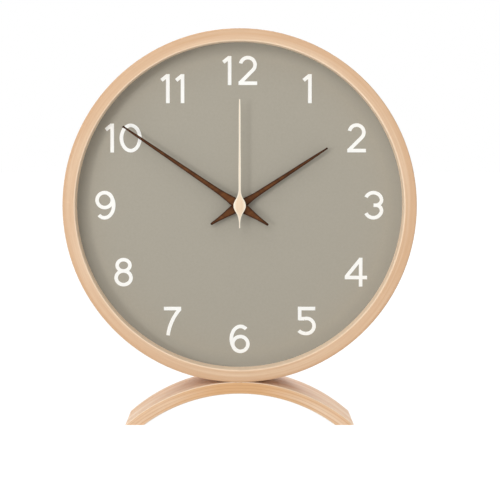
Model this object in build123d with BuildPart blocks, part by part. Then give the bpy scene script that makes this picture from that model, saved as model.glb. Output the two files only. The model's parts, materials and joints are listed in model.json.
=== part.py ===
"""Wooden desk clock: bent-wood hoop on an arched foot, with a battery movement behind its dial.

Millimetres. +Z up, the dial faces -Y, and the origin is on the table under the middle of the clock.
Depths are measured backwards from the front plane of the hoop, and places on the dial from its centre.
"""
import os
from math import cos, radians, sin, tan

from build123d import *

os.makedirs("parts", exist_ok=True)

# Hoop that cases the clock
hoop_outer_radius = 101.6
hoop_wall = 7.2
hoop_depth = 42.0
hoop_edge_round = 0.6
rebate_step = 2.0
dial_recess = 11.0
# Arched foot, flush with the hoop's front and back
foot_span = 131.8
foot_thickness = 6.9
foot_edge_round = 0.7
hoop_lift = 24.7
saddle_depth = 0.2
foot_screw_spacing = 27.0
foot_screw_length = 9.5
foot_screw_radius = 1.5
foot_screw_head_radius = 3.0
foot_screw_slot_width = 0.5
countersink_angle = 82.0
# Dial
board_thickness = 5.0
card_thickness = 0.4
board_clearance = 0.3
card_hole_clearance = 1.0
# Steel points that hold the dial board in its rebate
point_count = 4
point_start_angle = 45.0
point_length = 9.0
point_width = 8.0
point_thickness = 0.8
point_bite = 2.6
# Numerals
numeral_height = 16.8
numeral_stroke = 2.1
numeral_edge_gap = 16.4
numeral_ink = 0.15
# Hands: clock angles are in degrees clockwise from twelve, and gaps are from a tip to the hoop
minute_angle = 304.2
hour_angle = 56.8
hour_hand_gap = 33.7
minute_hand_gap = 13.0
tapered_tail_reach = 20.0
tapered_hub_radius = 3.4
tapered_blade_width = 5.6
hand_thickness = 1.2
hand_lift = 3.0
hand_gap = 1.0
second_hand_gap = 33.1
second_hand_tail = 12.9
second_hand_width = 7.1
second_hand_thickness = 0.8
second_socket_depth = 0.4
# Nested tubes that carry the hands, and their bushes
second_arbor_radius = 0.4
tube_clearance = 0.08
minute_tube_wall = 0.75
hour_tube_wall = 0.65
boss_wall = 1.4
bush_wall = 0.45
bush_flange = 0.5
bush_flange_thickness = 0.3
second_tube_wall = 0.35
second_tube_length = 1.1
# Battery cell
cell_diameter = 14.4
cell_body_length = 49.5
cell_nub_radius = 2.75
cell_nub_length = 1.0
cell_clearance = 0.3
cell_edge_round = 0.8
contact_room = 1.25
contact_thickness = 0.3
contact_arm_width = 3.5
contact_gap = 0.05
contact_plate_height = 10.8
contact_leaf_rim = 1.2
# Movement case
case_wall = 1.5
case_corner = 3.0
front_plate_thickness = 1.5
partition_wall = 1.2
case_post_radius = 2.2
case_post_bite = 0.7
case_screw_radius = 0.9
case_screw_head_radius = 1.8
case_screw_head_height = 1.1
case_screw_length = 14.0
ear_length = 6.5
ear_width = 8.0
ear_screw_radius = 1.1
ear_screw_head_radius = 2.3
ear_screw_head_height = 1.5
ear_screw_length = 5.5
screw_clearance = 0.05
chamber_floor_gap = 1.0
chamber_top_gap = 1.5
# Gear train: the direction of each arbor from the one before it
third_direction = 150.0
intermediate_direction = 40.0
rotor_direction = 97.0
minute_wheel_direction = -20.0
setting_direction = -10.0
wheel_thickness = 0.8
hour_wheel_thickness = 1.0
wheel_gap = 0.6
plate_gap = 0.5
pinion_overhang = 0.15
arbor_radius = 0.35
pivot_radius = 0.25
pivot_clearance = 0.05
pivot_length = 0.8
intermediate_hub_radius = 2.0
wheel_rim_width = 1.3
wheel_web_thickness = 0.5
train_plate_thickness = 1.0
pillar_radius = 1.5
pillar_pin_radius = 0.9
# Motor
stator_thickness = 0.8
stator_gap = 0.25
rotor_thickness = 2.2
rotor_air_gap = 0.35
bobbin_flange_thickness = 0.8
bobbin_wall = 0.5
coil_gap = 0.6
# Circuit board and what is soldered to it
circuit_thickness = 1.0
circuit_edge_gap = 0.2
circuit_post_radius = 1.2
chip_radius = 2.4
chip_height = 1.1
crystal_radius = 1.0
crystal_length = 6.0
crystal_edge_round = 0.25
# Setting knob on the back
setting_shaft_radius = 0.9
knob_radius = 4.5
knob_thickness = 3.0
knob_gap = 0.4
knob_flutes = 18
knob_flute_radius = 0.45
knob_edge_round = 0.3
clutch_thickness = 0.15
clutch_gap = 0.05
clutch_arm_width = 1.2
clutch_arm_reach = 4.6
clutch_arm_count = 3
clutch_start_angle = 30.0
# How far a cut runs past the face that it opens
overrun = 1.0

# Tooth numbers
rotor_teeth, intermediate_teeth = 8, 48
intermediate_leaves, second_teeth = 8, 40
second_leaves, third_teeth = 8, 60
third_leaves, centre_teeth = 8, 64
cannon_leaves, minute_wheel_teeth = 12, 36
minute_leaves, hour_teeth = 10, 40
setting_leaves = 12
# Tooth proportions: heights are shares of the module, widths are shares of the tooth spacing
tooth_top_share = 0.7
tooth_foot_share = 1.2
tip_width_share = 0.16
foot_width_share = 0.44

# Shapes as shares of a named size. Hands: how far along the blade, and the width there
tapered_blade_shares = ((0.07, 0.86), (0.14, 0.64), (0.25, 0.51), (0.5, 0.4), (0.8, 0.29), (0.985, 0.17))
tapered_tail_shares = ((0.29, 0.87), (0.47, 0.64), (0.65, 0.46), (0.97, 0.25))
lens_blade_shares = ((0.0, 1.0), (0.045, 0.8), (0.085, 0.42), (0.125, 0.22), (0.2, 0.17), (0.6, 0.14),
                     (0.99, 0.1))
lens_tail_shares = ((0.2, 0.8), (0.38, 0.42), (0.56, 0.2), (0.98, 0.1))
# Numeral strokes as shares of the numeral's height: lines, arcs through three points, rings given by
# centre and two radii, and bows, which are parts of a ring from an angle through another
digit_width_shares = {"1": 0.33, "2": 0.69, "3": 0.65, "4": 0.79, "5": 0.65, "6": 0.705,
                      "7": 0.61, "8": 0.655, "9": 0.705, "0": 0.765}
digit_line_shares = {
    "1": [((0.265, 0), (0.265, 1)), ((0.045, 0.785), (0.255, 0.955))],
    "2": [((0.537, 0.519), (0.085, 0.067)), ((0.04, 0.066), (0.685, 0.066))],
    "3": [((0.31, 0.5), (0.41, 0.5))],
    "4": [((0.565, 0), (0.565, 1)), ((0.57, 0.965), (0.07, 0.345)), ((0.015, 0.315), (0.79, 0.315))],
    "5": [((0.02, 0.934), (0.625, 0.934)), ((0.085, 1), (0.085, 0.53)), ((0.05, 0.581), (0.25, 0.581))],
    "7": [((0, 0.934), (0.6, 0.934))],
}
digit_arc_shares = {
    "2": [((0.115, 0.745), (0.37, 0.945), (0.537, 0.519))],
    "3": [((0.05, 0.775), (0.325, 0.934), (0.586, 0.72)), ((0.586, 0.72), (0.54, 0.565), (0.4, 0.5)),
          ((0.4, 0.5), (0.535, 0.44), (0.586, 0.285)), ((0.586, 0.285), (0.325, 0.066), (0.05, 0.225))],
    "5": [((0.25, 0.581), (0.585, 0.325), (0.3, 0.067)), ((0.3, 0.067), (0.165, 0.09), (0.055, 0.165))],
    "7": [((0.565, 0.93), (0.265, 0.46), (0.14, 0))],
}
digit_ring_shares = {
    "6": [(0.375, 0.323, 0.263, 0.258)],
    "8": [(0.327, 0.738, 0.22, 0.196), (0.327, 0.304, 0.258, 0.238)],
    "9": [(0.33, 0.677, 0.263, 0.258)],
    "0": [(0.3825, 0.5, 0.318, 0.435)],
}
digit_bow_shares = {
    "6": [(0.382, 0.5, 0.318, 0.435, 52, 198)],
    "9": [(0.323, 0.5, 0.318, 0.435, 232, 198)],
}
two_digit_step_shares = {"10": 0.52, "11": 0.507, "12": 0.53}
# Sizes that follow the chamber, as shares of its half width: spacings of the arbors, motor and circuit
train_distance_share, rotor_distance_share, motion_distance_share = 0.332, 0.264, 0.317
plate_margin_share = 0.083
stator_strip_share, stator_leg_share, rotor_share = 0.317, 0.132, 0.113
bobbin_length_share, bobbin_flange_share = 0.981, 0.1434
winding_share, coil_core_share = 0.1245, 0.1208
circuit_width_share, circuit_height_share = 0.343, 0.906
circuit_post_share, crystal_rise_share = 0.226, 0.19
contact_notch_share = 0.245
# Places of the pillars between the plates, as shares of the train's spacing
stator_pillar_shares = ((-1.36, 1.65), (1.65, 1.53))
plain_pillar_shares = ((-1.53, -0.8), (2.2, 0.45))

# What follows from those sizes
front_y = -hoop_depth / 2
hub_z = hoop_lift + hoop_outer_radius
hoop_inner_radius = hoop_outer_radius - hoop_wall
rebate_radius = hoop_inner_radius + rebate_step
numeral_ring_radius = hoop_inner_radius - numeral_edge_gap
hour_hand_reach = hoop_inner_radius - hour_hand_gap
minute_hand_reach = hoop_inner_radius - minute_hand_gap
second_hand_reach = hoop_inner_radius - second_hand_gap
foot_rise = hoop_lift + saddle_depth
foot_outer_radius = ((foot_span / 2) ** 2 + foot_rise**2) / (2 * foot_rise)
foot_inner_radius = foot_outer_radius - foot_thickness
foot_centre_z = foot_rise - foot_outer_radius
foot_crown_z = foot_centre_z + foot_inner_radius
pilot_depth = foot_screw_length - foot_rise + foot_crown_z + overrun
foot_screw_head_height = (foot_screw_head_radius - foot_screw_radius) / tan(radians(countersink_angle / 2))
card_back = dial_recess + card_thickness
movement_front = card_back + board_thickness

second_tube_radius = second_arbor_radius + second_tube_wall
minute_bore = second_arbor_radius + tube_clearance
minute_tube_radius = minute_bore + minute_tube_wall
hour_bore = minute_tube_radius + tube_clearance
hour_tube_radius = hour_bore + hour_tube_wall
boss_bore = hour_tube_radius + tube_clearance
boss_radius = boss_bore + boss_wall
hour_bush_radius = hour_tube_radius + bush_wall
minute_bush_radius = minute_tube_radius + bush_wall
card_hole_radius = hour_tube_radius + card_hole_clearance

hour_hand_back = dial_recess - hand_lift
hour_hand_front = hour_hand_back - hand_thickness
minute_hand_back = hour_hand_front - hand_gap
minute_hand_front = minute_hand_back - hand_thickness
second_hand_back = minute_hand_front - hand_gap
second_hand_front = second_hand_back - second_hand_thickness
second_socket_end = second_hand_back - second_socket_depth

cell_length = cell_body_length + cell_nub_length
inner_half = cell_length / 2 + contact_room
movement_width = 2 * (inner_half + case_wall)
train_distance = inner_half * train_distance_share
rotor_distance = inner_half * rotor_distance_share
motion_distance = inner_half * motion_distance_share
plate_margin = inner_half * plate_margin_share
stator_strip_height = inner_half * stator_strip_share
stator_leg_width = inner_half * stator_leg_share
rotor_radius = inner_half * rotor_share
bobbin_length = inner_half * bobbin_length_share
bobbin_flange_radius = inner_half * bobbin_flange_share
winding_radius = inner_half * winding_share
coil_core_height = inner_half * coil_core_share
circuit_width = inner_half * circuit_width_share
circuit_height = inner_half * circuit_height_share
plate_back = movement_front + front_plate_thickness
case_back = plate_back + cell_clearance + cell_diameter
case_back_inner = case_back - case_wall
cell_depth = case_back - cell_diameter / 2

hour_wheel_front = plate_back + plate_gap
hour_wheel_back = hour_wheel_front + hour_wheel_thickness
minute_wheel_front = hour_wheel_back + plate_gap
minute_wheel_back = minute_wheel_front + hour_wheel_thickness
train_plate_front = minute_wheel_back + plate_gap
train_plate_back = train_plate_front + train_plate_thickness
centre_wheel_front = train_plate_back + plate_gap
centre_wheel_back = centre_wheel_front + wheel_thickness
third_wheel_front = centre_wheel_back + wheel_gap
third_wheel_back = third_wheel_front + wheel_thickness
second_wheel_front = third_wheel_back + wheel_gap
second_wheel_back = second_wheel_front + wheel_thickness
intermediate_front = second_wheel_back + wheel_gap
intermediate_back = intermediate_front + wheel_thickness
bridge_front = intermediate_back + plate_gap
bridge_back = bridge_front + train_plate_thickness
stator_front = third_wheel_back + stator_gap
stator_back = stator_front + stator_thickness
rotor_middle = (stator_front + stator_back) / 2
rotor_front = rotor_middle - rotor_thickness / 2
rotor_back = rotor_middle + rotor_thickness / 2


def step(place, distance, direction):
    """Place that lies at a distance and a direction, anticlockwise from +X, from another"""
    return place[0] + distance * cos(radians(direction)), place[1] + distance * sin(radians(direction))


hub = (0, 0)
third_place = step(hub, train_distance, third_direction)
intermediate_place = step(hub, train_distance, intermediate_direction)
rotor_place = step(intermediate_place, rotor_distance, rotor_direction)
minute_wheel_place = step(hub, motion_distance, minute_wheel_direction)
setting_place = step(minute_wheel_place, motion_distance, setting_direction)
stator_pillars = [(x * train_distance, z * train_distance) for x, z in stator_pillar_shares]
plain_pillars = [(x * train_distance, z * train_distance) for x, z in plain_pillar_shares]
pillars = stator_pillars + plain_pillars
plate_left = min(x for x, z in pillars) - plate_margin
plate_right = max(x for x, z in pillars) + plate_margin
plate_bottom = min(z for x, z in pillars) - plate_margin
plate_top = max(z for x, z in pillars) + plate_margin
plate_width = plate_right - plate_left
plate_height = plate_top - plate_bottom
plate_middle = ((plate_left + plate_right) / 2, (plate_bottom + plate_top) / 2)
coil_place = ((plate_left + plate_right) / 2 - plate_margin / 2, plate_top + coil_gap + bobbin_flange_radius)
core_length = bobbin_length + 2 * (stator_leg_width + coil_gap)
core_middle = stator_front - stator_thickness / 2
chamber_floor = plate_bottom - chamber_floor_gap
chamber_top = coil_place[1] + bobbin_flange_radius + chamber_top_gap
bay_top = chamber_floor - partition_wall
cell_z = bay_top - cell_clearance - cell_diameter / 2
bay_floor = cell_z - cell_diameter / 2 - cell_clearance
case_middle = (0, (chamber_top + bay_floor) / 2)
movement_height = chamber_top - bay_floor + 2 * case_wall
post_x = inner_half - case_post_radius + case_post_bite
high_post = chamber_top - case_post_radius + case_post_bite
low_post = chamber_floor + case_post_radius - case_post_bite
case_posts = [(-post_x, high_post), (post_x, high_post), (post_x, low_post)]
circuit_left = -inner_half + circuit_edge_gap
circuit_bottom = chamber_floor + circuit_edge_gap
circuit_middle = (circuit_left + circuit_width / 2, circuit_bottom + circuit_height / 2)
circuit_front = plate_back + cell_clearance + contact_arm_width
circuit_back = circuit_front + circuit_thickness
notch_x = -inner_half * (1 - contact_notch_share)
ear_places = [(side * (movement_width + ear_length) / 2, 0) for side in (-1, 1)]


def facing(depth, place=hub):
    """Sketch plane that faces the viewer, its origin at a place on the dial"""
    origin = (place[0], front_y + depth, hub_z + place[1])
    return Plane(origin=origin, x_dir=(1, 0, 0), z_dir=(0, -1, 0))


def disc(near, far, radius, place=hub, mode=Mode.ADD):
    """Round slab between two depths"""
    with BuildSketch(facing(far, place)) as face:
        Circle(radius)
    extrude(face.sketch, amount=far - near, mode=mode)


def bore(near, far, radius, place=hub):
    """Round hole right through what lies between two depths"""
    disc(near - overrun, far + overrun, radius, place, Mode.SUBTRACT)


def pocket(near, far, radius, place=hub):
    """Round hole from one depth out through the face at another"""
    disc(near, far + overrun, radius, place, Mode.SUBTRACT)


def slab(near, far, width, height, place=hub, corner=0, mode=Mode.ADD):
    """Rectangular slab between two depths"""
    with BuildSketch(facing(far, place)) as face:
        if corner:
            RectangleRounded(width, height, corner)
        else:
            Rectangle(width, height)
    extrude(face.sketch, amount=far - near, mode=mode)


def between(low, high):
    """Middle and length of a stretch"""
    return (low + high) / 2, high - low


def module_of(distance, teeth, other_teeth):
    """Tooth size with which two wheels mesh at a distance"""
    return 2 * distance / (teeth + other_teeth)


def mesh_phase(phase, teeth, other_teeth, direction):
    """First tooth's angle on a wheel that lies in a direction from another and meshes with it"""
    share = (direction - phase) * teeth / 360
    return direction + 180 - (0.5 - share) * 360 / other_teeth


def toothed(near, far, teeth, module, phase=0.0, place=hub):
    """Wheel with straight-sided teeth between two depths"""
    spacing = 360 / teeth
    tip = module * (teeth / 2 + tooth_top_share)
    foot = module * (teeth / 2 - tooth_foot_share)
    half_tip = spacing * tip_width_share / 2
    half_foot = spacing * foot_width_share / 2
    corners = []
    for tooth in range(teeth):
        middle = phase + tooth * spacing
        for radius, angle in (
            (foot, middle - half_foot),
            (tip, middle - half_tip),
            (tip, middle + half_tip),
            (foot, middle + half_foot),
        ):
            corners.append(step(hub, radius, angle))
    with BuildSketch(facing(far, place)) as face:
        with BuildLine():
            Polyline(*corners, close=True)
        make_face()
    extrude(face.sketch, amount=far - near)


def thin_web(near, far, teeth, module, hub_radius, place=hub):
    """Thins a wheel between its hub and its rim, from the back"""
    rim = module * (teeth / 2 - tooth_foot_share) - wheel_rim_width
    with BuildSketch(facing(far, place)) as face:
        Circle(rim)
        Circle(hub_radius, mode=Mode.SUBTRACT)
    extrude(face.sketch, amount=far - near - wheel_web_thickness, mode=Mode.SUBTRACT)


def pivoted_arbor(near, far, place):
    """Arbor between two plates, with a thinner pivot in each"""
    disc(near + pivot_clearance, far - pivot_clearance, arbor_radius, place)
    disc(near - pivot_length, far + pivot_length, pivot_radius, place)


def save(part, name):
    part.label = name
    export_step(part, f"parts/{name}.step")


# Hoop with a rebate behind the dial, pilot holes for the foot's screws and slots for the points
with BuildPart() as ring_frame:
    disc(0, hoop_depth, hoop_outer_radius)
    disc(-overrun, hoop_depth + overrun, hoop_inner_radius, mode=Mode.SUBTRACT)
    disc(dial_recess, hoop_depth + overrun, rebate_radius, mode=Mode.SUBTRACT)
    rims = ring_frame.edges().filter_by(GeomType.CIRCLE).group_by(Axis.Y)
    fillet(rims[0] + rims[-1], hoop_edge_round)
    with Locations([Plane(origin=(0, y, hoop_lift), z_dir=(0, 0, -1)) for y in
                    (-foot_screw_spacing / 2, foot_screw_spacing / 2)]):
        Hole(foot_screw_radius + screw_clearance, depth=pilot_depth)
    with BuildSketch(facing(movement_front + point_thickness + screw_clearance)) as slots:
        with PolarLocations(rebate_radius + point_bite - point_length / 2, point_count, point_start_angle):
            Rectangle(point_length + 2 * screw_clearance, point_width + 2 * screw_clearance)
    extrude(slots.sketch, amount=point_thickness + screw_clearance, mode=Mode.SUBTRACT)
save(ring_frame.part, "ring_frame")

# Foot: a strip bent to an arc, cut flat at the table, with a shallow saddle for the hoop
with BuildPart() as base_arch:
    with BuildSketch(facing(hoop_depth, (0, -hub_z))):
        with Locations((0, foot_centre_z)):
            Circle(foot_outer_radius)
            Circle(foot_inner_radius, mode=Mode.SUBTRACT)
        Rectangle(foot_span + overrun, foot_rise + overrun, align=(Align.CENTER, Align.MIN),
                  mode=Mode.INTERSECT)
    extrude(amount=hoop_depth)
    arcs = base_arch.edges().filter_by(GeomType.CIRCLE)
    fillet(arcs, foot_edge_round)
    disc(-overrun, hoop_depth + overrun, hoop_outer_radius, mode=Mode.SUBTRACT)
    with Locations([Plane(origin=(0, y, foot_crown_z), z_dir=(0, 0, -1)) for y in
                    (-foot_screw_spacing / 2, foot_screw_spacing / 2)]):
        CounterSinkHole(foot_screw_radius + screw_clearance, foot_screw_head_radius + screw_clearance,
                        counter_sink_angle=countersink_angle)
save(base_arch.part, "base_arch")

# Two countersunk screws up through the foot into the hoop
with BuildPart() as base_screws:
    with Locations([Plane(origin=(0, y, foot_crown_z), z_dir=(0, 0, 1)) for y in
                    (-foot_screw_spacing / 2, foot_screw_spacing / 2)]):
        Cone(foot_screw_head_radius, foot_screw_radius, foot_screw_head_height,
             align=(Align.CENTER, Align.CENTER, Align.MIN))
        Cylinder(foot_screw_radius, foot_screw_length, align=(Align.CENTER, Align.CENTER, Align.MIN))
        Box(foot_screw_head_radius, foot_screw_slot_width, foot_screw_head_height / 2,
            align=(Align.CENTER, Align.CENTER, Align.MIN), mode=Mode.SUBTRACT)
        Box(foot_screw_slot_width, foot_screw_head_radius, foot_screw_head_height / 2,
            align=(Align.CENTER, Align.CENTER, Align.MIN), mode=Mode.SUBTRACT)
save(base_screws.part, "base_screws")

# Board behind the dial card, which carries the movement
with BuildPart() as dial_board:
    disc(card_back, movement_front, rebate_radius - board_clearance)
    bore(card_back, movement_front, boss_radius + tube_clearance)
    for place in ear_places:
        pocket(plate_back - ear_screw_length - screw_clearance, movement_front,
               ear_screw_radius + screw_clearance, place)
save(dial_board.part, "dial_board")

with BuildPart() as dial_card:
    disc(dial_recess, card_back, rebate_radius - board_clearance)
    bore(dial_recess, card_back, card_hole_radius)
save(dial_card.part, "dial_card")


def scaled(point):
    """Point on a numeral, from shares of its height"""
    return point[0] * numeral_height, point[1] * numeral_height


def oval(centre_x, centre_y, radius_x, radius_y, grow, mode=Mode.ADD):
    """Filled oval of a numeral's ring, grown or shrunk by part of a stroke"""
    with Locations(scaled((centre_x, centre_y))):
        Ellipse(radius_x * numeral_height + grow, radius_y * numeral_height + grow, mode=mode)


def digit_face(digit):
    """One numeral drawn with an even stroke, its lower left corner at the origin"""
    with BuildSketch() as drawn:
        for ring in digit_ring_shares.get(digit, ()):
            oval(*ring, numeral_stroke / 2)
        for ring in digit_ring_shares.get(digit, ()):
            oval(*ring, -numeral_stroke / 2, Mode.SUBTRACT)
        for ends in digit_line_shares.get(digit, ()):
            with BuildLine():
                Line(*map(scaled, ends))
            trace(line_width=numeral_stroke)
        for through in digit_arc_shares.get(digit, ()):
            with BuildLine():
                ThreePointArc(*map(scaled, through))
            trace(line_width=numeral_stroke)
        for centre_x, centre_y, radius_x, radius_y, start, turn in digit_bow_shares.get(digit, ()):
            with BuildLine():
                EllipticalCenterArc(scaled((centre_x, centre_y)), radius_x * numeral_height,
                                    radius_y * numeral_height, start, arc_size=turn)
            trace(line_width=numeral_stroke)
    return drawn.sketch


# Twelve printed numerals round the dial, each centred on its hour
with BuildPart() as numerals:
    for hour in range(1, 13):
        digits = str(hour)
        step_share = two_digit_step_shares.get(digits, 0)
        total_share = step_share + digit_width_shares[digits[-1]]
        middle = step(hub, numeral_ring_radius, 90 - 30 * hour)
        with BuildSketch(facing(dial_recess, middle)) as printed:
            for place, digit in enumerate(digits):
                left_share = place * step_share - total_share / 2
                with Locations((left_share * numeral_height, -numeral_height / 2)):
                    add(digit_face(digit))
        extrude(printed.sketch, amount=numeral_ink)
save(numerals.part, "numerals")

# Steel points pushed into the hoop behind the board
with BuildPart() as retaining_points:
    with BuildSketch(facing(movement_front + point_thickness)):
        with PolarLocations(rebate_radius + point_bite - point_length / 2, point_count, point_start_angle):
            Rectangle(point_length, point_width)
    extrude(amount=point_thickness)
save(retaining_points.part, "retaining_points")


def hand_plane(depth, clock_angle):
    """Sketch plane that faces the viewer, with its Y along a hand"""
    turn = radians(clock_angle)
    return Plane(origin=(0, front_y + depth, hub_z), x_dir=(cos(turn), 0, -sin(turn)), z_dir=(0, -1, 0))


def hand_blade(back, thickness, clock_angle, reach, tail, width, blade_shares, tail_shares):
    """Thin hand with curved edges, from the tip of its blade to the tip of its tail"""
    right = [(width / 2 * wide, -tail * along) for along, wide in reversed(tail_shares)]
    right += [(width / 2 * wide, reach * along) for along, wide in blade_shares]
    left = [(-x, y) for x, y in reversed(right)]
    with BuildSketch(hand_plane(back, clock_angle)) as outline:
        with BuildLine():
            Spline(*right)
            ThreePointArc(right[-1], (0, reach), left[0])
            Spline(*left)
            ThreePointArc(left[-1], (0, -tail), right[0])
        make_face()
    extrude(outline.sketch, amount=thickness)


# Hour and minute hands: tapered both ways from a round hub, on brass bushes
for name, back, clock_angle, reach, bush_radius, tube_radius in (
    ("hour", hour_hand_back, hour_angle, hour_hand_reach, hour_bush_radius, hour_tube_radius),
    ("minute", minute_hand_back, minute_angle, minute_hand_reach, minute_bush_radius, minute_tube_radius),
):
    with BuildPart() as hand:
        hand_blade(back, hand_thickness, clock_angle, reach, tapered_tail_reach, tapered_blade_width,
                   tapered_blade_shares, tapered_tail_shares)
        disc(back - hand_thickness, back, tapered_hub_radius)
        bore(back - hand_thickness, back, bush_radius)
    save(hand.part, f"{name}_hand")
    with BuildPart() as bush:
        disc(back - hand_thickness, back, bush_radius)
        disc(back, back + bush_flange_thickness, bush_radius + bush_flange)
        bore(back - hand_thickness, back + bush_flange_thickness, tube_radius)
    save(bush.part, f"{name}_hand_bush")

# Second hand: a fine needle with a lens over the hub, on a short brass tube
with BuildPart() as second_hand:
    hand_blade(second_hand_back, second_hand_thickness, 0, second_hand_reach, second_hand_tail,
               second_hand_width, lens_blade_shares, lens_tail_shares)
    pocket(second_socket_end, second_hand_back, second_tube_radius)
save(second_hand.part, "second_hand")

with BuildPart() as second_hand_tube:
    disc(second_socket_end, second_socket_end + second_tube_length, second_tube_radius)
    bore(second_socket_end, second_socket_end + second_tube_length, second_arbor_radius)
save(second_hand_tube.part, "second_hand_tube")

# Wheels of the second hand's train
second_module = module_of(train_distance, second_teeth, intermediate_leaves)
third_module = module_of(train_distance, second_leaves, third_teeth)
centre_module = module_of(train_distance, third_leaves, centre_teeth)
rotor_module = module_of(rotor_distance, rotor_teeth, intermediate_teeth)

with BuildPart() as second_arbor:
    disc(second_socket_end, bridge_front - pivot_clearance, second_arbor_radius)
    disc(second_socket_end, bridge_front + pivot_length, pivot_radius)
save(second_arbor.part, "second_arbor")

with BuildPart() as second_wheel:
    toothed(second_wheel_front, second_wheel_back, second_teeth, second_module)
    thin_web(second_wheel_front, second_wheel_back, second_teeth, second_module, boss_radius)
    toothed(third_wheel_front - pinion_overhang, second_wheel_front, second_leaves, third_module)
    disc(second_wheel_front - wheel_gap, bridge_front - plate_gap / 2, second_tube_radius)
    disc(third_wheel_front - overrun, bridge_back, second_arbor_radius, mode=Mode.SUBTRACT)
save(second_wheel.part, "second_wheel")

with BuildPart() as third_wheel:
    third_phase = mesh_phase(0, second_leaves, third_teeth, third_direction)
    toothed(third_wheel_front, third_wheel_back, third_teeth, third_module, third_phase, third_place)
    thin_web(third_wheel_front, third_wheel_back, third_teeth, third_module, boss_radius, third_place)
    toothed(centre_wheel_front - pinion_overhang, third_wheel_front, third_leaves, centre_module, 0,
            third_place)
    pivoted_arbor(train_plate_back, bridge_front, third_place)
save(third_wheel.part, "third_wheel")

with BuildPart() as centre_wheel:
    centre_phase = mesh_phase(0, third_leaves, centre_teeth, third_direction + 180)
    toothed(centre_wheel_front, centre_wheel_back, centre_teeth, centre_module, centre_phase)
    thin_web(centre_wheel_front, centre_wheel_back, centre_teeth, centre_module, boss_radius)
    bore(centre_wheel_front, centre_wheel_back, minute_tube_radius + tube_clearance)
save(centre_wheel.part, "centre_wheel")

with BuildPart() as intermediate_wheel:
    leaf_phase = mesh_phase(0, second_teeth, intermediate_leaves, intermediate_direction)
    toothed(second_wheel_front - pinion_overhang, intermediate_front, intermediate_leaves, second_module,
            leaf_phase, intermediate_place)
    toothed(intermediate_front, intermediate_back, intermediate_teeth, rotor_module, 0, intermediate_place)
    thin_web(intermediate_front, intermediate_back, intermediate_teeth, rotor_module, intermediate_hub_radius,
             intermediate_place)
    pivoted_arbor(train_plate_back, bridge_front, intermediate_place)
save(intermediate_wheel.part, "intermediate_wheel")

with BuildPart() as rotor_pinion:
    rotor_phase = mesh_phase(0, intermediate_teeth, rotor_teeth, rotor_direction)
    toothed(rotor_back, intermediate_back + pinion_overhang, rotor_teeth, rotor_module, rotor_phase,
            rotor_place)
    pivoted_arbor(train_plate_back, bridge_front, rotor_place)
save(rotor_pinion.part, "rotor_pinion")

with BuildPart() as rotor_magnet:
    disc(rotor_front, rotor_back, rotor_radius, rotor_place)
    bore(rotor_front, rotor_back, arbor_radius, rotor_place)
save(rotor_magnet.part, "rotor_magnet")

# Motion work: minute arbor with its pinion, minute wheel, hour wheel and setting shaft
minute_module = module_of(motion_distance, cannon_leaves, minute_wheel_teeth)
hour_module = module_of(motion_distance, minute_leaves, hour_teeth)
minute_wheel_phase = mesh_phase(0, cannon_leaves, minute_wheel_teeth, minute_wheel_direction)
hour_phase = mesh_phase(0, minute_leaves, hour_teeth, minute_wheel_direction + 180)
setting_phase = mesh_phase(minute_wheel_phase, minute_wheel_teeth, setting_leaves, setting_direction)

with BuildPart() as minute_arbor:
    disc(minute_hand_front, centre_wheel_back + clutch_gap + clutch_thickness, minute_tube_radius)
    toothed(minute_wheel_front - pinion_overhang, minute_wheel_back + pinion_overhang, cannon_leaves,
            minute_module)
    disc(minute_hand_front - overrun, case_back, minute_bore, mode=Mode.SUBTRACT)
save(minute_arbor.part, "minute_arbor")

with BuildPart() as clutch_spring:
    with BuildSketch(facing(centre_wheel_back + clutch_gap + clutch_thickness)) as star:
        Circle(boss_radius)
        with PolarLocations(clutch_arm_reach / 2, clutch_arm_count, clutch_start_angle):
            Rectangle(clutch_arm_reach, clutch_arm_width)
        Circle(minute_tube_radius, mode=Mode.SUBTRACT)
    extrude(star.sketch, amount=clutch_thickness)
save(clutch_spring.part, "clutch_spring")

with BuildPart() as minute_wheel:
    toothed(minute_wheel_front, minute_wheel_back, minute_wheel_teeth, minute_module, minute_wheel_phase,
            minute_wheel_place)
    toothed(hour_wheel_front - pinion_overhang, minute_wheel_front, minute_leaves, hour_module, 0,
            minute_wheel_place)
    pivoted_arbor(plate_back, train_plate_front, minute_wheel_place)
save(minute_wheel.part, "minute_wheel")

with BuildPart() as hour_wheel:
    toothed(hour_wheel_front, hour_wheel_back, hour_teeth, hour_module, hour_phase)
    disc(hour_hand_front, hour_wheel_front, hour_tube_radius)
    bore(hour_hand_front, hour_wheel_back, hour_bore)
save(hour_wheel.part, "hour_wheel")

with BuildPart() as setting_shaft:
    toothed(minute_wheel_front - pinion_overhang, minute_wheel_back + pinion_overhang, setting_leaves,
            minute_module, setting_phase, setting_place)
    disc(plate_back + pivot_clearance, case_back + knob_gap + knob_thickness, setting_shaft_radius,
         setting_place)
    disc(plate_back - pivot_length, plate_back + overrun, pivot_radius, setting_place)
save(setting_shaft.part, "setting_shaft")

with BuildPart() as set_knob:
    disc(case_back + knob_gap, case_back + knob_gap + knob_thickness, knob_radius, setting_place)
    fillet(set_knob.edges().filter_by(GeomType.CIRCLE), knob_edge_round)
    with BuildSketch(facing(case_back + knob_gap + knob_thickness + overrun, setting_place)) as flutes:
        with PolarLocations(knob_radius, knob_flutes):
            Circle(knob_flute_radius)
        Circle(setting_shaft_radius)
    extrude(flutes.sketch, amount=knob_thickness + 2 * overrun, mode=Mode.SUBTRACT)
save(set_knob.part, "set_knob")

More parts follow.
